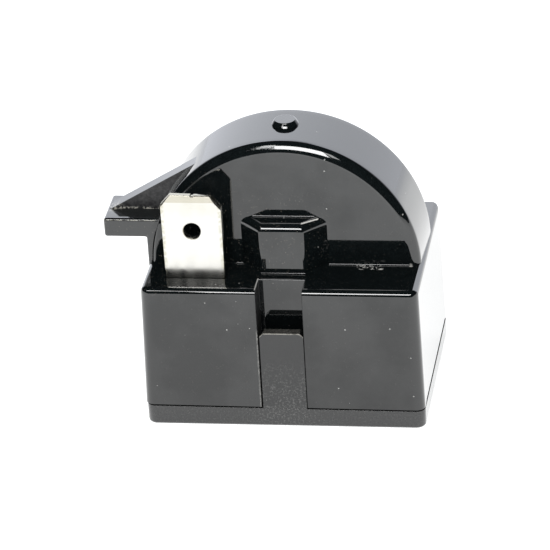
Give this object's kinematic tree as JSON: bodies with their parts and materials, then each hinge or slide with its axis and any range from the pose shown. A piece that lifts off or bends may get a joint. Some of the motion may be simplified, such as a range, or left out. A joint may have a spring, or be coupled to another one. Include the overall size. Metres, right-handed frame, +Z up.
{
  "type": "compressor start relay",
  "caption": "Start relay for a refrigerator compressor: black moulded box with a domed pill pocket, a side arm, an upright spade tab and pin sockets in its base.",
  "frame": {"origin": "middle of the base cover's underside, on the surface it stands on", "axes": "+Z up, from the base cover to the dome; -Y towards the front with the spade tab; the side arm points along -X"},
  "size_m": [0.0335, 0.0218, 0.0302],
  "materials": {
    "gloss_black_moulding": "polished moulding",
    "matte_black_moulding": "fine grained moulding",
    "tinned_brass": "tin plated brass strip",
    "brass": "stamped strip",
    "spring_steel": "pressed spring sheet",
    "pill_ceramic": "fired silver electrodes on ceramic"
  },
  "bodies": {
    "root": {"housing": "gloss_black_moulding", "base_cover": "matte_black_moulding", "supply_terminal": "tinned_brass", "start_terminal": "brass", "run_pin_socket": "brass", "start_pin_socket": "brass", "front_contact_spring": "spring_steel", "rear_contact_spring": "spring_steel", "front_spring_rivet": "brass", "rear_spring_rivet": "brass", "ptc_pill": "pill_ceramic"}
  },
  "joints": []
}
